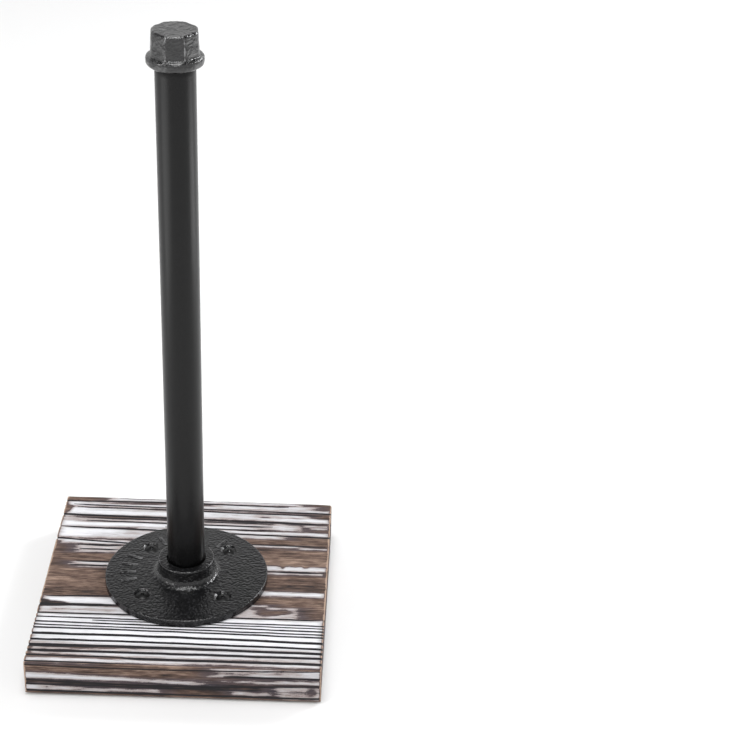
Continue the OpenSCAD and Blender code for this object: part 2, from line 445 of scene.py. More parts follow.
def black_casting(colours):
    """Satin lacquer over a sand casting."""
    iron = Finish("black_casting", colours.casting, 0.20, specular=0.55)
    sand = iron.waves(660, detail=1.0, rough=0.5)
    lumps = iron.waves(190, detail=1.0, shift=4.2)
    pits = iron.waves(1400, detail=1.0, shift=9.4)
    # Painted glints: a speckle of lighter base colour over the sand lumps stands in for glints off the
    # lacquer.
    rubbed = iron.blend(iron.step(sand, 0.05, 0.55), colours.casting, tuple(4.5 * c for c in colours.casting))
    # Painted highlight: the edges of the raised bars take the light grey rubbed colour where lamps would
    # catch them.
    edges = iron.step(iron.sum(iron.attribute("raised"), (pits, 0.4)), 0.35, 0.95)
    iron.set("Base Color", iron.blend(edges, rubbed, colours.rubbed))
    iron.set("Roughness", iron.sum((sand, 0.05), (lumps, 0.03), 0.20))
    iron.bump(iron.sum((sand, 0.40), (lumps, 0.14), (pits, 0.06), 0.5), 0.46 * MM)
    return iron.material


def black_tube(colours):
    """Smooth satin lacquer on a drawn tube."""
    tube = Finish("black_tube", colours.tube, 0.28, specular=0.29)
    haze = tube.waves(60, 60, 18, detail=2.0)
    peel = tube.waves(700, 700, 520, detail=2.0, shift=2.2)
    dust = tube.waves(5200, detail=1.0, shift=7.7)
    tube.set("Base Color", tube.blend(
        tube.step(dust, 0.1, 0.9), colours.tube, tuple(1.7 * c for c in colours.tube)))
    tube.set("Roughness", tube.sum((haze, 0.04), (dust, 0.03), 0.28))
    tube.bump(tube.sum((peel, 0.4), (dust, 0.08), 0.5), 0.02 * MM)
    return tube.material


def black_cap(colours):
    """Gloss lacquer over a small casting."""
    cap = Finish("black_cap", colours.cap, 0.14, specular=0.85)
    sand = cap.waves(760, detail=3.0, rough=0.55)
    lumps = cap.waves(300, detail=2.0, shift=6.1)
    pits = cap.waves(3300, detail=1.0, shift=2.4)
    lacquer = cap.blend(cap.step(sand, -0.2, 0.9), colours.cap, tuple(2.0 * c for c in colours.cap))
    # Painted highlight: light grey laid along the cap's upright corners, broken by the lumps, where glints
    # would run.
    edges = cap.step(cap.sum(cap.attribute("raised"), (sand, 0.6), (lumps, 1.0)), 0.75, 1.35)
    cap.set("Base Color", cap.blend(edges, lacquer, tuple(2.0 * c for c in colours.rubbed)))
    cap.set("Roughness", cap.sum((sand, 0.06), (pits, 0.03), 0.15))
    cap.bump(cap.sum((sand, 0.25), (lumps, 0.45), (pits, 0.05), 0.5), 0.62 * MM)
    return cap.material


def black_screw(colours):
    """Black coating, worn through to steel in the cross."""
    screw = Finish("black_screw", colours.screw, 0.34, specular=0.3)
    scuffs = screw.waves(1400, detail=2.0)
    worn = screw.step(screw.sum(screw.attribute("worn"), (scuffs, 0.45)), 0.45, 0.75)
    screw.set("Base Color", screw.blend(worn, colours.screw, colours.worn))
    screw.set("Metallic", worn)
    screw.set("Roughness", screw.sum((worn, -0.06), (scuffs, 0.06), 0.34))
    screw.bump(screw.sum((scuffs, 0.4), 0.5), 0.03 * MM)
    return screw.material


def pad_rubber(colours):
    """Matt moulded rubber."""
    rubber = Finish("pad_rubber", colours.rubber, 0.8, specular=0.3)
    grain = rubber.waves(2600, detail=2.0)
    dirt = rubber.waves(240, detail=3.0, shift=3.3)
    rubber.set("Base Color", rubber.blend(
        rubber.step(dirt, -0.2, 1.0), colours.rubber, tuple(2.4 * c for c in colours.rubber)))
    rubber.set("Roughness", rubber.sum((grain, 0.06), 0.80))
    rubber.bump(rubber.sum((grain, 0.5), 0.5), 0.05 * MM)
    return rubber.material


def floor_paper(colours):
    """Plain pale paper."""
    return Finish("floor_paper", colours.floor, 0.9, specular=0.1).material


# ---------------------------------------------------------------- the board

# White paint on the top, in millimetres. Each streak: where it starts and ends along the grain,
# its back and front edges at the left end of the board, the same at the right end, and how solid it is.
TOP_PAINT = [
    (-54, 62, 81.0, 77.6, 80.5, 77.6, 0.9),
    (10, 70, 77.4, 72.6, 76.8, 71.6, 0.9),
    (-79, 80, 75.6, 70.4, 73.2, 70.2, 1.4),
    (-78, 44, 69.6, 61.6, 68.6, 60.8, 2.0),
    (16, 80, 67.5, 61.4, 64.0, 59.9, 1.9),
    (20, 66, 69.4, 65.0, 68.4, 64.0, 0.9),
    (-79, 56, 60.8, 55.6, 58.6, 54.6, 0.35),
    (14, 62, 57.6, 51.4, 56.8, 50.8, 0.8),
    (8, 54, 48.0, 43.2, 46.6, 42.0, 0.8),
    (-80, 34, 58.2, 56.6, 56.6, 55.4, 1.1),
    (66, 79, 57.0, 55.8, 57.0, 55.8, 0.9),
    (70, 79, 54.8, 53.6, 54.8, 53.6, 0.7),
    (-80.4, 42, 55.2, 48.8, 53.6, 50.4, 2.4),
    (-34, 80, 50.4, 47.4, 49.2, 46.0, 2.2),
    (-80.2, -10, 48.4, 37.4, 43.0, 37.4, 2.6),
    (18, 40, 44.4, 42.2, 44.4, 42.2, 0.3),
    (-77, -34, 36.3, 31.6, 33.0, 31.0, 1.1),
    (-80.6, -66, 36.6, 34.2, 33.0, 32.6, 1.0),
    (-66, -38, 30.0, 23.0, 29.0, 23.0, 0.3),
    (-60, -40, 28.4, 26.9, 28.0, 26.4, 0.9),
    (32, 64, 35.0, 33.5, 34.9, 33.6, 1.0),
    (64, 80, 33.6, 32.4, 33.6, 32.2, 1.1),
    (-68, -38, 12.8, 10.6, 12.6, 10.6, 1.3),
    (-62, -40, 8.9, 8.1, 8.9, 8.1, -0.1),
    (40, 80.4, 15.6, 10.3, 14.2, 10.2, 1.3),
    (45, 78, 8.1, 6.7, 8.0, 6.7, 0.3),
    (40, 80, -9.4, -14.8, -10.8, -14.6, 2.0),
    (-78.6, -28, -21.4, -27.7, -18.7, -27.5, 2.6),
    (32, 48, -23.4, -25.6, -23.6, -25.4, 0.8),
    (-79.6, -26, -29.6, -36.4, -29.1, -36.2, 1.3),
    (26, 64, -26.0, -36.0, -26.0, -35.8, 0.35),
    (-80.6, 80.8, -36.9, -64.2, -36.5, -65.6, 2.6),
    (-78.8, 80.6, -66.7, -69.8, -66.2, -69.7, 1.5),
    (-78.6, 80.4, -70.9, -73.8, -70.5, -74.3, 1.5),
    (-79.8, 80.2, -76.8, -79.7, -76.0, -79.2, 1.9),
]

# Places where the paint on the top is rubbed thin: middle, half sizes and how much is gone.
TOP_RUBBED = [
    (-79, 68, 3, 3, 2.0), (-77, -27.6, 10, 2.6, 4.2), (-60, -66.4, 26, 1.0, 1.0),
    (-30, 67, 34, 1.2, 1.3), (-36, 60, 26, 2.2, 1.0), (-52, 58.8, 20, 1.6, 1.0),
    (-42, 41, 20, 3.2, 1.6), (-30, 44, 12, 2.2, 1.1), (-60, 53.8, 12, 0.7, 1.2), (28, 64, 24, 3.0, 1.0),
    (30, 58, 24, 3.0, 0.6), (36, 51.5, 12, 2.2, 0.8), (-44, 74, 22, 0.9, 1.3), (34, 72, 30, 0.9, 1.2),
    (-48, -33, 18, 1.2, 1.1), (-70, -34, 8, 2.2, 0.9), (49, -31, 6, 2.4, 1.8), (57, -29.5, 5, 2.0, 1.6),
    (44, -27.5, 5, 1.6, 1.2), (54.5, 14.6, 1.6, 2.8, 2.2), (68, 14.8, 1.2, 2.2, 1.8),
    (62, 15.2, 1.6, 1.4, 1.2),
    (-64, -62.2, 22, 1.2, 0.9), (-66, -58.0, 16, 1.0, 0.8), (-62, -68.2, 22, 1.6, 1.0),
    (-68, -72.5, 16, 1.8, 0.9),
    (-30, -68, 26, 1.0, 0.8), (10, -62.8, 34, 1.2, 0.7), (52, -72.4, 26, 1.4, 0.8), (30, -78.2, 34, 1.2, 0.9),
    (60, -63.6, 18, 1.4, 0.8), (-10, -57.6, 26, 0.7, 0.6), (70, -46.6, 12, 0.7, 0.6),
]

# Charred grain on the top. Each line: its start and end along the grain, its place across the
# grain at the left end, the middle and the right end, its width, and how deep the brush has cut it.
TOP_GRAIN = [
    (-50, 81, 80.4, 80.4, 80.6, 0.9, 0.6),
    (-81, 56, 76.0, 77.2, 75.2, 0.9, 0.7),
    (-76, 81, 72.3, 71.5, 70.4, 0.8, 0.8),
    (-74, 76, 69.7, 68.9, 67.6, 0.8, 0.7),
    (-81, 79, 61.6, 60.4, 58.8, 1.4, 1.0),
    (-66, 47, 58.9, 58.0, 57.4, 0.7, 0.5),
    (-66, 47, 55.7, 54.7, 54.0, 0.9, 0.6),
    (-20, 50, 51.6, 50.9, 50.1, 0.7, 0.5),
    (-80, 81, 48.8, 46.9, 45.2, 1.0, 0.9),
    (-81, -18, 36.8, 31.0, 29.0, 1.0, 1.0),
    (33, 79, 36.0, 36.0, 35.4, 0.7, 0.5),
    (-68, -40, 30.6, 30.0, 30.0, 1.8, 0.5),
    (-66, -40, 26.0, 25.8, 25.8, 0.8, 0.5),
    (-66, -40, 13.6, 13.6, 13.6, 1.1, 0.6),
    (-70, -40, 9.9, 9.7, 9.7, 0.8, 0.5),
    (46, 79, 9.3, 9.3, 9.3, 1.1, 0.8),
    (-78, -40, -21.3, -17.6, -17.0, 0.9, 0.6),
    (-81, -34, -28.4, -27.6, -27.6, 1.9, 1.0),
    (-81, 79, -36.7, -36.1, -36.1, 0.8, 0.8),
    (-81, 81, -40.3, -40.6, -41.2, 0.7, 0.8),
    (-50, 81, -42.2, -42.8, -43.6, 0.5, 0.6),
    (-81, 81, -44.6, -45.3, -46.1, 0.8, 0.9),
    (-81, 81, -47.5, -48.2, -49.1, 0.7, 0.8),
    (-81, 81, -49.9, -50.4, -51.7, 0.9, 0.9),
    (-81, 81, -55.3, -55.3, -56.9, 1.6, 1.0),
    (-81, 81, -60.6, -60.6, -61.8, 1.3, 1.0),
    (-81, 81, -65.2, -65.1, -65.9, 1.7, 1.0),
    (-81, -42, -66.6, -66.4, -66.2, 0.5, 0.6),
    (-81, 81, -70.3, -70.0, -70.1, 1.5, 1.0),
    (-30, 81, -75.4, -75.2, -75.1, 1.7, 1.0),
    (-81, -26, -74.3, -74.6, -74.8, 0.8, 0.9),
    (-81, -30, -79.9, -80.1, -80.1, 0.7, 0.7),
]

# Brown wood on the top, lighter or darker than the rest: its middle, its half sizes and its shade.
TOP_TONES = [
    (-70, 78, 22, 2.4, 0.10), (-72, 27, 8, 5, -0.16), (-66, 18, 20, 3.5, 0.02),
    (-64, -4, 22, 9, 0.10), (-60, -15, 24, 3, -0.10), (-75, -27.6, 12, 3.4, -0.42),
    (66, 76, 16, 4, -0.06), (66, 65, 13, 2.4, -0.10), (64, 55, 14, 4, -0.12),
    (60, 40, 20, 4, 0.06), (64, 27, 20, 5, 0.04), (62, 19, 22, 3.4, 0.26),
    (-58, -70, 30, 9, 0.22), (30, -70, 40, 9, 0.06),
    (62, 2, 18, 4, -0.02), (64, -6, 16, 3, -0.22), (66, -21, 16, 6, 0.06), (70, -31, 10, 4, -0.02),
]

# The same for the front and back faces, with heights in place of places across the grain.
FRONT_PAINT = [
    (-81, -44, 23.4, 22.5, 23.2, 22.6, 0.9),
    (-82, 18, 15.8, 11.8, 10.0, 10.0, 1.6),
    (-34, 82, 11.8, 10.4, 15.0, 13.2, 1.2),
    (22, 81, 22.4, 17.4, 22.6, 16.6, 0.9),
    (-82, -70, 7.2, 4.0, 7.0, 4.0, 0.9),
    (-68, -50, 6.4, 4.2, 6.2, 4.4, 0.8),
    (-50, -36, 5.8, 3.8, 5.6, 4.0, 0.7),
    (-38, -10, 6.0, 4.4, 5.8, 4.6, 0.7),
    (34, 52, 6.4, 4.2, 6.2, 4.4, 0.3),
    (58, 81, 11.0, 2.4, 10.6, 2.4, 0.35),
]
FRONT_RUBBED = [
    (20, 13, 26, 1.2, 0.8), (60, 20, 8, 2.2, 0.8), (-30, 11.6, 16, 1.0, 0.7),
    (36, 19.6, 12, 2.4, 0.9), (68, 6, 8, 3.0, 0.6), (76, 8.4, 3, 3.0, 0.8),
]
FRONT_GRAIN = [
    (-82, 81, 10.4, 9.0, 12.0, 0.5, 0.6),
    (26, 82, 16.8, 16.8, 16.8, 0.8, 0.6),
    (-82, 20, 7.8, 7.4, 7.2, 0.5, 0.4),
    (-82, 82, 3.3, 3.1, 3.4, 0.8, 0.4),
    (-82, 82, 20.8, 20.2, 22.4, 0.4, 0.4),
]
FRONT_TONES = [
    (-20, 18.5, 60, 3.6, 0.02), (60, 16, 24, 3, -0.26), (-20, 8.0, 74, 3.2, -0.18),
    (20, 2.6, 74, 1.4, -0.04),
    (0, 9.4, 100, 2.0, -0.14), (44, 9, 46, 2.6, -0.20),
]
BACK_PAINT = [
    (-60, 78, 20.6, 18.4, 21.2, 19.4, 1.2),
    (-79, 30, 13.6, 12.4, 15.0, 13.8, 0.8),
    (-20, 79, 8.4, 5.6, 9.6, 7.2, 1.2),
    (-79, -44, 5.2, 3.4, 5.2, 3.4, 0.5),
]
BACK_RUBBED = [(0, 19.6, 20, 1.2, 0.8), (30, 7.4, 14, 1.2, 0.9), (-50, 13.4, 12, 1.0, 0.7)]
BACK_GRAIN = [
    (-81, 81, 17.2, 17.8, 18.4, 1.1, 0.8),
    (-81, 81, 11.4, 12.4, 12.8, 1.4, 0.9),
    (-81, 81, 4.6, 5.0, 6.4, 1.0, 0.6),
]

# Half the board's width in the lists above, and how near its ends a streak runs out blunt
LIST_HALF = 81
BLUNT_FROM = 70
BLUNT_TIP, LONG_TIP = 0.6, 0.16
OUT_OF_PAINT = -4.0
OUT_OF_GRAIN = -3.0
BOARD_COLUMNS = 84
BOARD_ROWS = 480
SIDE_STEP = 0.75 * MM
END_CROWDING = 0.33


def wander(along, seed, size, reach):
    """A slow wobble along the grain, in millimetres."""
    knots = np.arange(-100, 101, 2.0)
    values = np.array([noise.noise(Vector((k / reach, seed * 3.17, 0.5))) for k in knots])
    return size * np.interp(along, knots, values)


def paint_field(along, across, streaks, rubbed, seed):
    """How far inside the white paint a place is, in millimetres; it is below 0 outside."""
    field = np.full(len(along), OUT_OF_PAINT)
    share = (along + LIST_HALF) / (2 * LIST_HALF)
    for i, (start, end, back_l, front_l, back_r, front_r, solid) in enumerate(streaks):
        back = back_l + (back_r - back_l) * share + wander(along, seed + i, 0.4, 7)
        front = front_l + (front_r - front_l) * share + wander(along, seed + i + 0.5, 0.25, 11)
        left_tip = (along - start) * (BLUNT_TIP if start < -BLUNT_FROM else LONG_TIP)
        right_tip = (end - along) * (BLUNT_TIP if end > BLUNT_FROM else LONG_TIP)
        inside = np.minimum(back - across, across - front)
        inside = np.minimum(inside, np.minimum(left_tip, right_tip))
        field = np.maximum(field, np.minimum(inside, solid))
    for x, y, half_x, half_y, gone in rubbed:
        near = np.hypot((along - x) / half_x, (across - y) / half_y)
        field = field - gone * np.clip(1.5 - near, 0, 1)
    return np.maximum(field, OUT_OF_PAINT)


def grain_fields(along, across, lines, seed):
    """How far inside a charred line a place is, in millimetres, and how deep the brush has cut."""
    field = np.full(len(along), OUT_OF_GRAIN)
    depth = np.zeros(len(along))
    for i, (start, end, left, middle, right, width, cut) in enumerate(lines):
        curve = middle + (right - left) / (2 * LIST_HALF) * along
        curve = curve + ((left + right) / 2 - middle) * (along / LIST_HALF) ** 2
        away = np.abs(across - curve - wander(along, seed + i, 0.3, 14))
        taper = 5 + 4 * width
        left_end = np.clip((along - start) / taper, 0, 1) if start > -LIST_HALF else 1
        right_end = np.clip((end - along) / taper, 0, 1) if end < LIST_HALF else 1
        near = left_end * right_end
        line = width / 2 * near - away
        field = np.maximum(field, np.where(near > 0, line, OUT_OF_GRAIN))
        groove = np.exp(-(away / (0.5 * width + 0.2)) ** 2)
        groove = groove + 0.35 * np.exp(-(away / (0.5 * width + 0.9)) ** 2)
        depth = np.maximum(depth, cut * near * groove / 1.35)
    return np.maximum(field, OUT_OF_GRAIN), depth


def tone_field(along, across, patches):
    tone = np.full(len(along), 0.46)
    for x, y, half_x, half_y, shade in patches:
        near = np.clip(1.4 - np.hypot((along - x) / half_x, (across - y) / half_y), 0, 1)
        tone += shade * np.minimum(near * 1.6, 1)
    return tone


def grow_ring_lean(across):
    """How far the rings lean under the top: upright at the front, and lying flatter in the middle."""
    return 0.25 + 2.2 * np.exp(-((across - 8) / 34) ** 2)


def start_board():
    """A plain closed block: a fine grid, pulled down into sides and filled underneath."""
    deselect()
    width, depth = BOARD_HIGH.x - BOARD_LOW.x, BOARD_HIGH.y - BOARD_LOW.y
    top, bottom = BOARD_HIGH.z, BOARD_LOW.z
    bpy.ops.mesh.primitive_grid_add(
        x_subdivisions=BOARD_COLUMNS, y_subdivisions=BOARD_ROWS, size=1.0,
        location=(0.0, 0.0, top), enter_editmode=True)
    bpy.ops.transform.resize(value=(width, depth, 1.0), center_override=(0.0, 0.0, top))
    bpy.ops.mesh.select_mode(type="EDGE")
    select_rims()
    edge = [0.25 * MM, 0.3 * MM, 0.35 * MM, 0.4 * MM]
    middle = top - bottom - 2 * sum(edge)
    count = round(middle / SIDE_STEP)
    for drop in edge + [middle / count] * count + edge[::-1]:
        bpy.ops.mesh.extrude_region_move(TRANSFORM_OT_translate={"value": (0.0, 0.0, -drop)})
    for inset in (0.3 * MM, 0.7 * MM, 2.0 * MM):
        bpy.ops.mesh.extrude_region_move(TRANSFORM_OT_translate={"value": (0.0, 0.0, 0.0)})
        shrink = 1 - 2 * inset / width
        bpy.ops.transform.resize(value=(shrink, shrink, 1.0), center_override=(0.0, 0.0, bottom))
    bpy.ops.mesh.edge_face_add()
    bpy.ops.mesh.select_all(action="SELECT")
    bpy.ops.mesh.normals_make_consistent(inside=False)
    bpy.ops.object.mode_set(mode="OBJECT")
    board = bpy.context.view_layer.objects.active
    settle(board)
    return board


def round_block(points, low, high, radius):
    """Rounds the edges of a block: the new places of its points, and the outward directions."""
    inner = np.clip(points, low + radius[:, None], high - radius[:, None])
    out = points - inner
    size = np.linalg.norm(out, axis=1)
    normal = out / np.maximum(size, 1e-9)[:, None]
    return inner + normal * radius[:, None], normal


def sanded_edges(x, y, z, on_end, on_side, ragged):
    """How far the wood is sanded bare, from 0 to 1, with most along the edges of the two ends."""
    ends = BOARD_HIGH.x / MM - np.abs(x)
    sides = BOARD_HIGH.x / MM - np.abs(y)
    heights = np.minimum(np.array(BOARD_HIGH)[2] / MM - z, z - np.array(BOARD_LOW)[2] / MM)
    to_end = np.where(on_end, np.minimum(sides, heights), ends)
    to_side = np.where(on_side, heights, sides)
    bare = np.clip(1.25 - to_end / (1.5 + 0.9 * ragged), 0, 1)
    return np.maximum(bare, 0.75 * np.clip(1.25 - to_side / (0.6 + 0.4 * ragged), 0, 1))


def brush_board(board, sizes):
    """Crowds the columns towards the ends, rounds the edges, cuts the brushed grain and notes on
    the mesh where the paint, the char and the bare wood are."""
    points = read_points(board)
    half = BOARD_HIGH.x
    share = points[:, 0] / half
    points[:, 0] = half * (share * (1 + END_CROWDING) - END_CROWDING * share ** 3)
    low, high = np.array(BOARD_LOW), np.array(BOARD_HIGH)
    mm = points / MM
    sanding = np.array([noise.noise(Vector(p) / 9) for p in mm])
    radius = sizes.arris * (1 + 0.35 * sanding)
    flat = points[:, 2] < BOARD_LOW.z + 1e-6
    inside = np.min(np.abs(np.abs(points[:, :2]) - half), axis=1) > 1e-5
    radius = np.where(flat & inside, 0.5 * MM, radius)
    points, normal = round_block(points, low, high, radius)
    faces = normal ** 2
    on_top = faces[:, 2] * (normal[:, 2] > 0)
    on_front = faces[:, 1] * (normal[:, 1] < 0)
    on_back = faces[:, 1] * (normal[:, 1] > 0)
    on_end = faces[:, 0]
    x, y, z = (points / MM).T
    leaned = y - grow_ring_lean(y) * (high[2] / MM - z)
    end_x = np.sign(x) * float(BLUNT_FROM)
    parts = [
        (on_top, x, y, TOP_PAINT, TOP_RUBBED, TOP_GRAIN, TOP_TONES, 1),
        (on_front, x, z, FRONT_PAINT, FRONT_RUBBED, FRONT_GRAIN, FRONT_TONES, 50),
        (on_back, x, z, BACK_PAINT, BACK_RUBBED, BACK_GRAIN, FRONT_TONES, 90),
        (on_end, end_x, leaned, TOP_PAINT, TOP_RUBBED, TOP_GRAIN, TOP_TONES, 1),
    ]
    wash, ring, cut, tone = (np.zeros(len(points)) for _ in range(4))
    for weight, along, across, paint, rubbed, grain, tones, seed in parts:
        used = weight > 0.0
        line, depth = grain_fields(along[used], across[used], grain, seed)
        cover = paint_field(along[used], across[used], paint, rubbed, seed + 200)
        if weight is on_end:
            cover = np.minimum(cover, 0.35) - 0.75
        wash[used] += weight[used] * cover
        ring[used] += weight[used] * line
        cut[used] += weight[used] * depth
        tone[used] += weight[used] * tone_field(along[used], across[used], tones)
    under = faces[:, 2] * (normal[:, 2] < 0)
    wash -= 3.0 * under
    ring -= 3.0 * under
    tone += 0.55 * under - 0.16 * on_end
    ripple = np.array([noise.noise(Vector((p[0] / 30, p[1] / 0.9, p[2] / 0.9))) for p in points / MM])
    open_wood = np.clip(0.5 - wash, 0, 1)
    depth = sizes.relief * (cut + 0.22 * open_wood * (1 - cut))
    depth = depth + 0.10 * MM * (0.5 + 0.5 * ripple) * (1 - under)
    depth = depth * np.clip(1 - under, 0, 1)
    points = points - normal * depth[:, None]
    write_points(board, points)
    ragged = np.array([noise.noise(Vector((p[0] / 6, p[1] / 3, p[2] / 3))) for p in points / MM])
    bare = sanded_edges(x, y, z, on_end > 0.5, on_front + on_back > 0.5, ragged)
    wash = wash - 2.2 * np.clip(bare * 1.5 - 0.5, 0, 1)
    for name, values in (("wash", wash), ("ring", ring), ("tone", tone), ("bare", bare * (1 - under))):
        note(board, name, values)


class HOLDER_OT_board(bpy.types.Operator):
    """Models the square board with its brushed grain and rubbed paint"""
    bl_idname = "holder.board"
    bl_label = "Base board"

    def execute(self, context):
        board = start_board()
        brush_board(board, context.scene.holder_sizes)
        material = washed_wood(context.scene.holder_colours)
        finish_piece(board, "brushed_board", material, "base", ["base_board"], 60.0)
        return {"FINISHED"}


# ---------------------------------------------------------------- the flange and its screws

FLANGE_SEGMENTS = 360
BAR_ANGLES = (58, 120, 158, 171, 184, 197)
BAR_LENGTH = 9.6 * MM
BAR_WIDTH = 2.3 * MM
BAR_HEIGHT = 0.5 * MM
BAR_RADIUS = 33.5 * MM
SHANK_GAP = 0.3 * MM
HEAD_GAP = 0.04 * MM
SINK_ROUND = 0.15 * MM


def flange_outline(sizes):
    radius = FLANGE_HIGH.x
    base, top = FLANGE_LOW.z, FLANGE_HIGH.z
    rim = base + sizes.rim_height
    plate = base + sizes.plate_height
    root = sizes.hub_radius + sizes.hub_fillet
    inner_rim = radius - sizes.rim_round
    points = [(socket_radius(sizes), base), (radius - 0.4 * MM, base), (radius, base + 0.4 * MM)]
    points += arc(inner_rim, rim - sizes.rim_round, sizes.rim_round, 0, 90)
    for r in ladder(inner_rim, root, 0.8 * MM)[1:-1]:
        points.append((r, rim + (plate - rim) * (inner_rim - r) / (inner_rim - root)))
    points += arc(root, plate + sizes.hub_fillet, sizes.hub_fillet, 270, 180, 10)
    points += arc(sizes.hub_radius - sizes.hub_round, top - sizes.hub_round, sizes.hub_round, 0, 90)
    mouth = mouth_radius(sizes)
    points += arc(mouth + sizes.mouth_chamfer, top - sizes.mouth_chamfer, sizes.mouth_chamfer, 90, 180)
    points.append((mouth, top - sizes.mouth_depth))
    points.append((socket_radius(sizes), top - sizes.mouth_depth))
    return points


def plate_top(sizes, radius):
    """Height of the plate's upper face at a distance from the axis."""
    root = sizes.hub_radius + sizes.hub_fillet
    rim = FLANGE_HIGH.x - sizes.rim_round
    share = (rim - radius) / (rim - root)
    return FLANGE_LOW.z + sizes.rim_height + share * (sizes.plate_height - sizes.rim_height)


def screw_places(sizes):
    reach = sizes.bolt_circle / 2 * math.cos(math.radians(45))
    return [(sx * reach, sy * reach) for sy in (-1, 1) for sx in (-1, 1)]


def cast_bar(angle, sizes):
    """A raised bar with soft ends that lies along the radius."""
    deselect()
    turn = math.radians(angle)
    top = plate_top(sizes, BAR_RADIUS) + BAR_HEIGHT
    foot = FLANGE_LOW.z + sizes.rim_height / 2
    place = (BAR_RADIUS * math.cos(turn), BAR_RADIUS * math.sin(turn), (top + foot) / 2)
    bpy.ops.mesh.primitive_cube_add(size=1.0, location=place, rotation=(0.0, 0.0, turn))
    bar = bpy.context.view_layer.objects.active
    bar.scale = (BAR_LENGTH, BAR_WIDTH, top - foot)
    settle(bar)
    bpy.ops.object.mode_set(mode="EDIT")
    bpy.ops.mesh.select_all(action="SELECT")
    bpy.ops.mesh.bevel(offset=0.45 * MM, segments=2, affect="EDGES")
    bpy.ops.object.mode_set(mode="OBJECT")
    return bar


def countersink(place, sizes):
    """The tool that cuts one screw's hole, a little past both faces."""
    hole = sizes.shank_diameter / 2 + SHANK_GAP
    top = plate_top(sizes, sizes.bolt_circle / 2)
    wide = sizes.sink_diameter / 2
    outline = [
        (hole, FLANGE_LOW.z - 1 * MM), (hole, top - (wide - hole)),
        (wide - SINK_ROUND, top - SINK_ROUND),
        (wide + SINK_ROUND, top + 0.05 * MM), (wide + SINK_ROUND, top + 2 * MM),
    ]
    return revolve("countersink", outline, 48, place)


def mark_bar_edge_highlight(flange, sizes):
    """Notes on the mesh where the edges of the raised bars are, for the painted highlight along them."""
    points = read_points(flange)
    radius = np.hypot(points[:, 0], points[:, 1])
    stands = points[:, 2] - plate_top(sizes, radius)
    on_bars = np.abs(radius - BAR_RADIUS) < BAR_LENGTH / 2 + 0.5 * MM
    raised = np.clip(1 - np.abs(stands - 0.7 * BAR_HEIGHT) / (0.6 * BAR_HEIGHT), 0, 1) * on_bars
    note(flange, "raised", raised)


class HOLDER_OT_flange(bpy.types.Operator):
    """Models the cast floor flange"""
    bl_idname = "holder.flange"
    bl_label = "Floor flange"

    def execute(self, context):
        sizes = context.scene.holder_sizes
        flange = revolve("flange", flange_outline(sizes), FLANGE_SEGMENTS, closed=True)
        for angle in BAR_ANGLES:
            combine(flange, cast_bar(angle, sizes), "UNION")
        for place in screw_places(sizes):
            combine(flange, countersink(place, sizes), "DIFFERENCE")
        mark_bar_edge_highlight(flange, sizes)
        roughen(flange, sizes.cast_grain, 1.7 * MM, 5)
        material = black_casting(context.scene.holder_colours)
        finish_piece(flange, "cast_flange", material, "base", ["floor_flange"], 32.0)
        return {"FINISHED"}


SCREW_LENGTH = 16 * MM
HEAD_LAND = 0.15 * MM
SCREW_NECK = 2 * MM
SCREW_POINT = 3.5 * MM
SCREW_CORE = 1.45 * MM
SCREW_CREST = 1.98 * MM
CROSS_LENGTH = 4.4 * MM
CROSS_WIDTH = 1.05 * MM
CROSS_DEPTH = 1.7 * MM
SCREW_TURNS = (38, 12, 64, 82)


def screw_outline(sizes, edge):
    """From the middle of the head's dome, round its edge and down to the point."""
    head, shank = sizes.head_diameter / 2, sizes.shank_diameter / 2
    dome = (head ** 2 + sizes.head_dome ** 2) / (2 * sizes.head_dome)
    spread = math.degrees(math.asin(head / dome))
    centre = edge + sizes.head_dome - dome
    points = arc(0.0, centre, dome, 90 - spread * 0.06, 90 - spread, 10)
    points.append((head, edge - HEAD_LAND))
    points.append((shank, edge - HEAD_LAND - (head - shank)))
    neck = BOARD_HIGH.z - SCREW_NECK
    points.append((shank, neck))
    tip = edge - SCREW_LENGTH
    for height in ladder(neck - 0.5 * MM, tip + SCREW_POINT, sizes.screw_pitch / 8):
        points.append((SCREW_CORE, height))
    points.append((0.1 * MM, tip))
    return points


def cross_cutter(top):
    """Two tapered blades that cut the cross in a screw's head."""
    blades = []
    for turn in (0.0, math.pi / 2):
        deselect()
        bpy.ops.mesh.primitive_cube_add(size=1.0, location=(0.0, 0.0, top - CROSS_DEPTH / 2 + 1 * MM))
        blade = bpy.context.view_layer.objects.active
        blade.scale = (CROSS_LENGTH, CROSS_WIDTH, CROSS_DEPTH + 2 * MM)
        blade.rotation_euler.z = turn
        settle(blade)
        points = read_points(blade)
        low = points[:, 2] < top - CROSS_DEPTH / 2
        points[low, :2] *= 0.42
        write_points(blade, points)
        blades.append(blade)
    combine(blades[0], blades[1], "UNION")
    return blades[0]


def first_screw(sizes):
    """One screw on the upright axis, at its working height."""
    top = plate_top(sizes, sizes.bolt_circle / 2)
    edge = top - (sizes.sink_diameter - sizes.head_diameter) / 2 + HEAD_GAP
    crown = edge + sizes.head_dome
    screw = revolve("screw", screw_outline(sizes, edge), 48)
    neck = BOARD_HIGH.z - SCREW_NECK
    wind_thread(screw, edge - SCREW_LENGTH + SCREW_POINT, neck - 0.4 * MM,
                SCREW_CORE, SCREW_CREST, sizes.screw_pitch, 0.3)
    combine(screw, cross_cutter(crown), "DIFFERENCE")
    points = read_points(screw)
    away = np.hypot(points[:, 0], points[:, 1])
    depth = crown - points[:, 2]
    worn = (away < 0.55 * CROSS_LENGTH) * (depth > 0.4 * MM) * (depth < 1.1 * CROSS_DEPTH)
    note(screw, "worn", worn)
    return screw


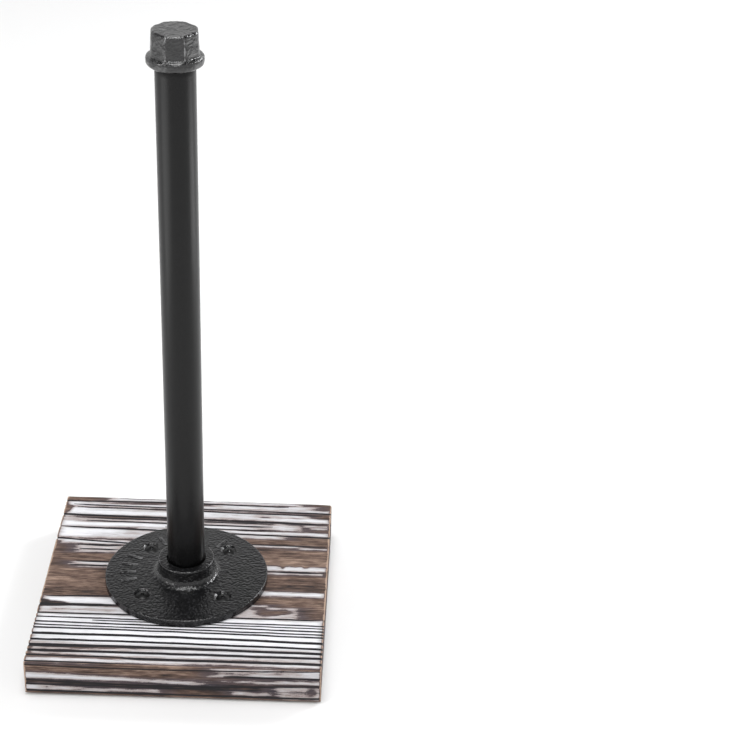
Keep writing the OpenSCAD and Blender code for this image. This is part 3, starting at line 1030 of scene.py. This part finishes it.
class HOLDER_OT_screws(bpy.types.Operator):
    """Models one wood screw and copies it into the flange's four holes"""
    bl_idname = "holder.screws"
    bl_label = "Flange screws"

    def execute(self, context):
        sizes = context.scene.holder_sizes
        material = black_screw(context.scene.holder_colours)
        first = first_screw(sizes)
        for node, place, turn in zip(SCREW_NODES, screw_places(sizes), SCREW_TURNS):
            screw = copy_to(first, place, math.radians(turn))
            name = node.replace("flange_screw", "wood_screw")
            finish_piece(screw, name, material, "base", [node], 38.0)
        bpy.data.objects.remove(first)
        return {"FINISHED"}


# ---------------------------------------------------------------- the post and its cap

POST_SEGMENTS = 128


def post_outline(sizes, seats):
    """Up the outside of the tube with a ring for every eighth of a thread, and down its bore."""
    low, high = POST_LOW.z, POST_HIGH.z
    radius = POST_HIGH.x
    crest, bore = radius - sizes.thread_crest, radius - sizes.tube_wall
    step = sizes.thread_pitch / 8
    chamfer = 0.7 * MM
    points = [(bore + 0.3 * MM, low), (crest - chamfer, low)]
    points += [(crest, z) for z in ladder(low + chamfer, seats[0], step)]
    points += [(radius - 0.15 * MM, seats[0]), (radius, seats[0] + 0.2 * MM)]
    points += [(radius, z) for z in ladder(seats[0] + 6 * MM, seats[1] - 6 * MM, 20 * MM)]
    points += [(radius, seats[1] - 0.2 * MM), (radius - 0.15 * MM, seats[1])]
    points += [(crest, z) for z in ladder(seats[1], high - chamfer, step)]
    points += [(crest - chamfer, high), (bore + 0.3 * MM, high)]
    points += [(bore, high - 0.3 * MM), (bore, low + 0.3 * MM)]
    return points


class HOLDER_OT_post(bpy.types.Operator):
    """Models the threaded tube"""
    bl_idname = "holder.post"
    bl_label = "Post"

    def execute(self, context):
        sizes = context.scene.holder_sizes
        seats = (FLANGE_HIGH.z - sizes.mouth_depth, CAP_LOW.z + sizes.mouth_depth)
        post = revolve("post", post_outline(sizes, seats), POST_SEGMENTS, closed=True)
        for low, high in ((POST_LOW.z - 1 * MM, seats[0]), (seats[1], POST_HIGH.z + 1 * MM)):
            wind_thread(post, low, high, POST_HIGH.x - sizes.thread_root,
                        POST_HIGH.x - sizes.thread_crest, sizes.thread_pitch)
        material = black_tube(context.scene.holder_colours)
        finish_piece(post, "threaded_tube", material, "post", ["post_pipe"], 40.0)
        return {"FINISHED"}


CAP_VOXEL = 0.3 * MM


def cap_block(sizes):
    """The eight-sided body, tapered and bevelled, standing in its bead."""
    deselect()
    low, high = CAP_LOW.z, CAP_HIGH.z
    corner = math.cos(math.pi / 8)
    waist = low + sizes.bead_height / 2
    shoulder = high - sizes.bevel_down
    bpy.ops.mesh.primitive_cone_add(
        vertices=8, radius1=sizes.flats_low / 2 / corner, radius2=sizes.flats_high / 2 / corner,
        depth=shoulder - waist, location=(0.0, 0.0, (shoulder + waist) / 2),
        rotation=(0.0, 0.0, sizes.cap_angle + math.radians(22.5)))
    block = bpy.context.view_layer.objects.active
    settle(block)
    bpy.ops.object.mode_set(mode="EDIT")
    bpy.ops.mesh.select_mode(type="FACE")
    bpy.ops.mesh.select_all(action="DESELECT")
    bpy.ops.object.mode_set(mode="OBJECT")
    for face in block.data.polygons:
        face.select = face.normal.z > 0.9
    bpy.ops.object.mode_set(mode="EDIT")
    bpy.ops.mesh.extrude_region_move(TRANSFORM_OT_translate={"value": (0.0, 0.0, sizes.bevel_down)})
    shrink = 1 - 2 * sizes.bevel_in / sizes.flats_high
    bpy.ops.transform.resize(value=(shrink, shrink, 1.0), center_override=(0.0, 0.0, high))
    bpy.ops.mesh.select_mode(type="EDGE")
    bpy.ops.mesh.select_all(action="DESELECT")
    bpy.ops.object.mode_set(mode="OBJECT")
    corners = block.data.vertices
    for edge in block.data.edges:
        ends = [corners[i].co for i in edge.vertices]
        edge.select = abs(ends[0].z - ends[1].z) > sizes.bevel_down / 2
    bpy.ops.object.mode_set(mode="EDIT")
    bpy.ops.mesh.bevel(offset=sizes.corner_round, segments=5, affect="EDGES")
    bpy.ops.object.mode_set(mode="OBJECT")
    return block


def bead_ring(sizes):
    radius, low = CAP_HIGH.x, CAP_LOW.z
    size = (sizes.bead_height - sizes.bead_land) / 2
    outline = [(1 * MM, low)]
    outline += arc(radius - size, low + size, size, 270, 360)
    outline += arc(radius - size, low + sizes.bead_height - size, size, 0, 90)
    outline += [(1 * MM, low + sizes.bead_height)]
    return revolve("bead", outline, 96)


def cap_bore(sizes):
    low, high = CAP_LOW.z, CAP_HIGH.z
    outline = [
        (mouth_radius(sizes), low - 1 * MM), (mouth_radius(sizes), low + sizes.mouth_depth),
        (socket_radius(sizes), low + sizes.mouth_depth), (socket_radius(sizes), high - sizes.cap_roof),
    ]
    return revolve("bore", outline, 96)


def mark_corner_highlight(cap, sizes):
    """Notes on the mesh where the cap's upright corners are, for the painted highlight along them."""
    points = read_points(cap)
    radius = np.hypot(points[:, 0], points[:, 1])
    turn = np.arctan2(points[:, 1], points[:, 0]) - sizes.cap_angle
    from_corner = np.abs((turn + math.pi) % (math.pi / 4) - math.pi / 8) * radius
    above_bead = points[:, 2] > CAP_LOW.z + sizes.bead_height
    outside = radius > 0.42 * sizes.flats_high
    raised = np.clip(1.3 - from_corner / (0.6 * MM), 0, 1) * above_bead * outside
    note(cap, "raised", raised)


class HOLDER_OT_cap(bpy.types.Operator):
    """Models the eight-sided cast cap"""
    bl_idname = "holder.cap"
    bl_label = "Cap"

    def execute(self, context):
        sizes = context.scene.holder_sizes
        cap = cap_block(sizes)
        combine(cap, bead_ring(sizes), "UNION")
        combine(cap, cap_bore(sizes), "DIFFERENCE")
        apply_modifier(cap, "REMESH", mode="VOXEL", voxel_size=CAP_VOXEL, use_smooth_shade=True)
        apply_modifier(cap, "SMOOTH", factor=0.5, iterations=8)
        roughen(cap, 2.5 * sizes.cast_grain, 4.2 * MM, 2)
        roughen(cap, sizes.cast_grain, 1.3 * MM, 3)
        mark_corner_highlight(cap, sizes)
        material = black_cap(context.scene.holder_colours)
        finish_piece(cap, "cast_cap", material, "cap", ["pipe_cap"], 60.0)
        return {"FINISHED"}


# ---------------------------------------------------------------- the foot pads

PAD_RINGS = (2.4, 4.6, 6.8)
PAD_GROOVE = 0.25 * MM


def pad_outline(low, high, radius):
    """From the middle of the underside, over moulded rings, up the side and across the top."""
    points = [(0.6 * MM, low + PAD_GROOVE)]
    for ring in PAD_RINGS:
        points += [((ring - 0.5) * MM, low + PAD_GROOVE), ((ring - 0.3) * MM, low),
                   ((ring + 0.9) * MM, low), ((ring + 1.1) * MM, low + PAD_GROOVE)]
    points += [(radius - 0.7 * MM, low + PAD_GROOVE), (radius - 0.55 * MM, low)]
    points += arc(radius - 0.35 * MM, low + 0.35 * MM, 0.35 * MM, 270, 360, 4)
    points += arc(radius - 0.12 * MM, high - 0.12 * MM, 0.12 * MM, 0, 90, 2)
    points.append((0.6 * MM, high))
    return points


class HOLDER_OT_pads(bpy.types.Operator):
    """Models one rubber foot pad and copies it to the four corners"""
    bl_idname = "holder.pads"
    bl_label = "Foot pads"

    def execute(self, context):
        material = pad_rubber(context.scene.holder_colours)
        low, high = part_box(PAD_NODES[0])
        first = revolve("pad", pad_outline(low.z, high.z, (high.x - low.x) / 2), 64)
        for node in PAD_NODES:
            low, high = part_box(node)
            pad = copy_to(first, (low + high) / 2)
            name = node.replace("foot_pad", "rubber_pad")
            finish_piece(pad, name, material, "base", [node])
        bpy.data.objects.remove(first)
        return {"FINISHED"}


# ---------------------------------------------------------------- floor, lights and camera

FLOOR_SIZE = 12.0
CAMERA_PLACE = (0.10323, -0.92221, 0.69729)
CAMERA_TURN = (59.881, -1.694, 0.894)
CAMERA_LENS = 94.38
# Each light: name, place, what it points at, size, power and colour.
LIGHTS = [
    ("top_light", (-0.10, -0.10, 2.6), (0.0, 0.0, 0.1), 1.2, 32.0, (1.0, 1.0, 1.0)),
    ("left_light", (-1.5, -1.0, 1.3), (0.0, 0.0, 0.15), 0.6, 10.0, (1.0, 0.99, 0.98)),
    ("right_light", (1.25, 0.95, 1.05), (0.0, 0.0, 0.15), 0.5, 14.0, (0.98, 0.99, 1.0)),
    ("front_light", (0.25, -1.25, 1.9), (0.0, 0.0, 0.1), 0.45, 9.0, (1.0, 1.0, 1.0)),
    ("low_left", (-0.60, -0.33, 0.01), (-0.60, -0.33, 1.0), 0.5, 1.5, (1.0, 1.0, 1.0)),
    ("low_right", (0.60, 0.05, 0.01), (0.60, 0.05, 1.0), 0.3, 0.8, (1.0, 1.0, 1.0)),
]
# The world's light: the sine of a height above the horizon, and how bright it is there
WORLD_BANDS = [(0.50, 0.95), (0.68, 0.12), (0.85, 0.12), (0.97, 0.5)]


def studio_world():
    """A pale band round the horizon, a dark band above it and a pale ceiling."""
    world = bpy.data.worlds.new("studio")
    world.use_nodes = True
    tree = world.node_tree
    way = tree.nodes.new("ShaderNodeTexCoord")
    height = tree.nodes.new("ShaderNodeSeparateXYZ")
    ramp = tree.nodes.new("ShaderNodeValToRGB")
    ramp.color_ramp.elements.new(0.5)
    ramp.color_ramp.elements.new(0.6)
    for element, (rise, light) in zip(ramp.color_ramp.elements, WORLD_BANDS):
        element.position = rise
        element.color = (light, light, light, 1.0)
    tree.links.new(way.outputs["Generated"], height.inputs["Vector"])
    tree.links.new(height.outputs["Z"], ramp.inputs["Fac"])
    tree.links.new(ramp.outputs["Color"], tree.nodes["Background"].inputs["Color"])
    return world


class HOLDER_OT_stage(bpy.types.Operator):
    """Adds the pale floor, the soft lights and the camera"""
    bl_idname = "holder.stage"
    bl_label = "Stage"

    def execute(self, context):
        scene = context.scene
        deselect()
        bpy.ops.mesh.primitive_grid_add(
            x_subdivisions=4, y_subdivisions=4, size=FLOOR_SIZE, location=(0.0, 0.0, 0.0))
        floor = context.view_layer.objects.active
        floor.name = "floor"
        floor.data.materials.append(floor_paper(scene.holder_colours))
        for name, place, target, size, power, tint in LIGHTS:
            turn = (Vector(target) - Vector(place)).to_track_quat("-Z", "Y").to_euler()
            bpy.ops.object.light_add(type="AREA", location=place, rotation=turn)
            lamp = context.view_layer.objects.active
            lamp.name = name
            lamp.data.shape = "SQUARE"
            lamp.data.size = size
            lamp.data.energy = power
            lamp.data.color = tint
            lamp.visible_camera = False
        scene.world = studio_world()
        turn = [math.radians(a) for a in CAMERA_TURN]
        bpy.ops.object.camera_add(location=CAMERA_PLACE, rotation=turn)
        camera = context.view_layer.objects.active
        camera.name = "camera"
        camera.data.sensor_width = 36.0
        camera.data.lens = CAMERA_LENS
        camera.data.clip_start = 0.01
        camera.data.clip_end = 50.0
        scene.camera = camera
        scene.view_settings.view_transform = "Standard"
        deselect()
        return {"FINISHED"}


# ---------------------------------------------------------------- the panel and the add-on

PIECE_OPERATORS = [
    HOLDER_OT_stage, HOLDER_OT_board, HOLDER_OT_flange, HOLDER_OT_screws,
    HOLDER_OT_post, HOLDER_OT_cap, HOLDER_OT_pads,
]


class HOLDER_PT_panel(bpy.types.Panel):
    """Lists the pieces of the holder and its colours"""
    bl_idname = "HOLDER_PT_panel"
    bl_label = "Towel holder"
    bl_space_type = "VIEW_3D"
    bl_region_type = "UI"
    bl_category = "Towel holder"

    def draw(self, context):
        for operator in PIECE_OPERATORS:
            self.layout.operator(operator.bl_idname)
        for group in (context.scene.holder_sizes, context.scene.holder_colours):
            box = self.layout.box()
            for key in group.bl_rna.properties.keys():
                if key not in ("rna_type", "name"):
                    box.prop(group, key)


CLASSES = [HolderSizes, HolderColours, *PIECE_OPERATORS, HOLDER_PT_panel]


def register():
    for cls in CLASSES:
        bpy.utils.register_class(cls)
    bpy.types.Scene.holder_sizes = bpy.props.PointerProperty(type=HolderSizes)
    bpy.types.Scene.holder_colours = bpy.props.PointerProperty(type=HolderColours)


def unregister():
    del bpy.types.Scene.holder_colours
    del bpy.types.Scene.holder_sizes
    for cls in reversed(CLASSES):
        bpy.utils.unregister_class(cls)


def main():
    register()
    bpy.ops.holder.stage()
    bpy.ops.holder.board()
    bpy.ops.holder.flange()
    bpy.ops.holder.screws()
    bpy.ops.holder.post()
    bpy.ops.holder.cap()
    bpy.ops.holder.pads()


if __name__ == "__main__":
    main()
